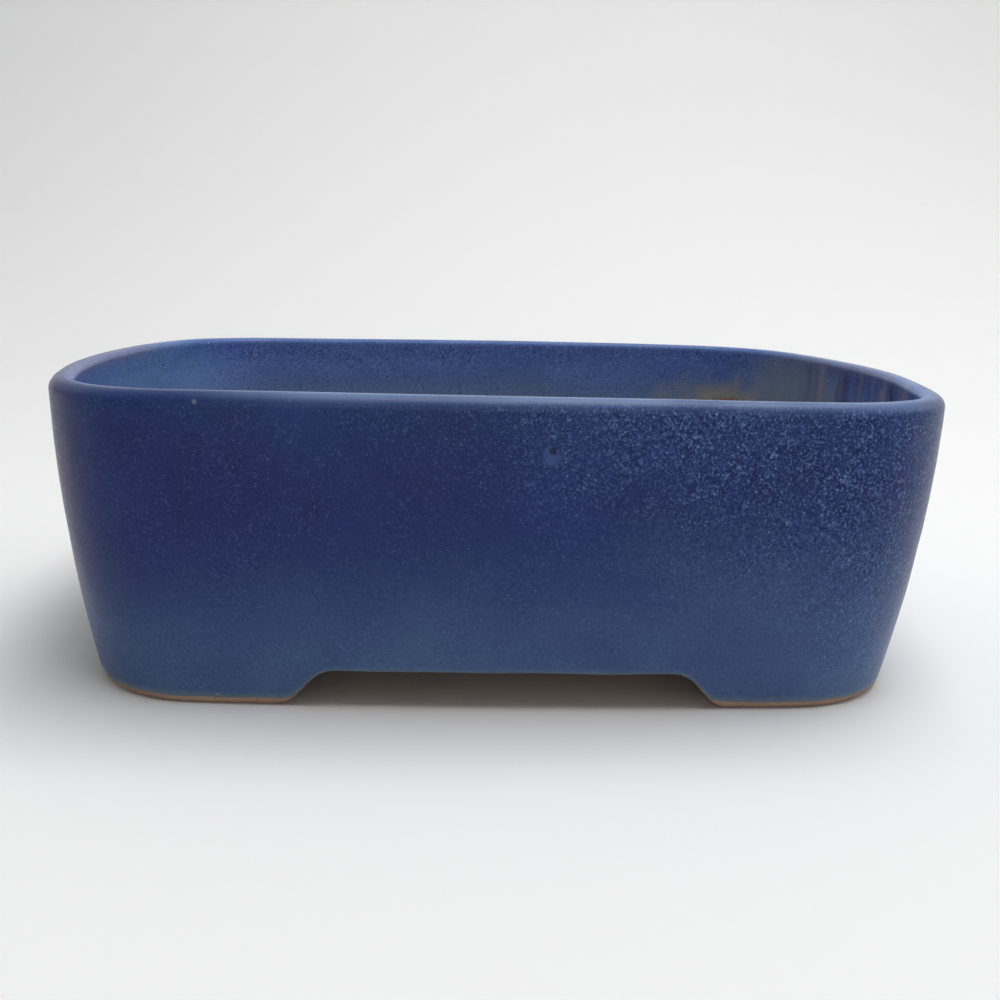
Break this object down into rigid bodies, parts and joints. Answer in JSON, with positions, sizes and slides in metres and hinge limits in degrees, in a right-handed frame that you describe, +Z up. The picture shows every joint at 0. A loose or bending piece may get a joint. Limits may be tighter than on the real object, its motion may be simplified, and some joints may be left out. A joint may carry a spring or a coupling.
{
  "type": "bonsai pot",
  "caption": "Low rectangular bonsai pot with bowed walls, large rounded corners, corner feet with arched gaps between them, drain and tie-wire holes in its floor, and a blue glaze.",
  "frame": {"origin": "under the middle of the pot, on the surface that its feet stand on", "axes": "+X along the length, +Y towards the back, +Z up out of the pot's mouth"},
  "size_m": [0.16, 0.12, 0.0515],
  "materials": {
    "clay": "unglazed, fine-grained red-brown stoneware, matte",
    "glaze": "satin mottled cobalt-blue glaze"
  },
  "bodies": {
    "root": {"front_wall": "clay", "back_wall": "clay", "left_end_wall": "clay", "right_end_wall": "clay", "floor_slab": "clay", "floor_joint_coil": "clay", "foot_front_left": "clay", "foot_front_right": "clay", "foot_back_left": "clay", "foot_back_right": "clay", "outer_glaze": "glaze", "inner_glaze": "glaze"}
  },
  "joints": []
}
